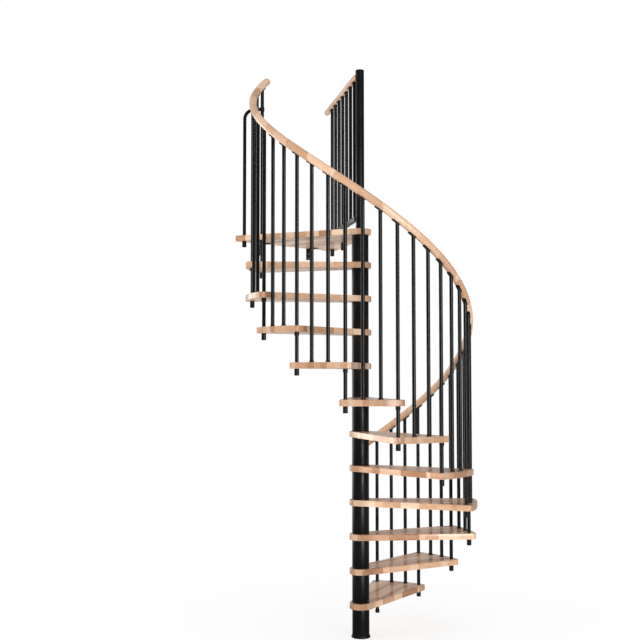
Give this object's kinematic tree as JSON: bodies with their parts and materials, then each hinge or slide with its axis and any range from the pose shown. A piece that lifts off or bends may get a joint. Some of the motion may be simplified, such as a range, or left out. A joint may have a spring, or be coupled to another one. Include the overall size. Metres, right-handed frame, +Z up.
{
  "type": "spiral staircase",
  "caption": "Spiral staircase with beech treads, a corner landing, black steel column, balusters and a curved beech handrail.",
  "frame": {"origin": "column axis at floor level, on the underside of the base plate", "axes": "+Z up along the column; seen from above the stair climbs clockwise; the first tread points to +X and +Y and the landing to -X and +Y"},
  "size_m": [1.7023, 1.8144, 3.9915],
  "materials": {
    "tread_wood": "satin varnished beech staves",
    "rail_wood": "satin varnished beech",
    "column_steel": "satin black powder coat",
    "rod_steel": "satin black powder coat",
    "bracket_steel": "matt black powder coat",
    "fitting_plastic": "fine-grained black nylon"
  },
  "bodies": {
    "root": {"base_plate": "column_steel", "base_ring": "fitting_plastic", "centre_pole": "column_steel", "pole_cap": "fitting_plastic", "spacer_tubes": "column_steel", "tread_1": "tread_wood", "tread_2": "tread_wood", "tread_3": "tread_wood", "tread_4": "tread_wood", "tread_5": "tread_wood", "tread_6": "tread_wood", "tread_7": "tread_wood", "tread_8": "tread_wood", "tread_9": "tread_wood", "tread_10": "tread_wood", "tread_11": "tread_wood", "landing": "tread_wood", "balusters_1": "rod_steel", "balusters_2": "rod_steel", "balusters_3": "rod_steel", "balusters_4": "rod_steel", "balusters_5": "rod_steel", "balusters_6": "rod_steel", "balusters_7": "rod_steel", "balusters_8": "rod_steel", "balusters_9": "rod_steel", "balusters_10": "rod_steel", "balusters_11": "rod_steel", "top_baluster": "rod_steel", "baluster_feet": "fitting_plastic", "end_caps": "fitting_plastic", "collars": "fitting_plastic", "rail_saddles": "fitting_plastic", "handrail_1": "rail_wood", "handrail_2": "rail_wood", "handrail_3": "rail_wood", "handrail_4": "rail_wood", "handrail_5": "rail_wood", "handrail_6": "rail_wood", "handrail_7": "rail_wood", "handrail_8": "rail_wood", "handrail_9": "rail_wood", "landing_rail": "rail_wood", "landing_bar": "rod_steel", "landing_balusters": "rod_steel", "landing_caps": "fitting_plastic", "closing_tube": "rod_steel", "closing_clamp": "fitting_plastic", "landing_brackets": "bracket_steel"}
  },
  "joints": []
}
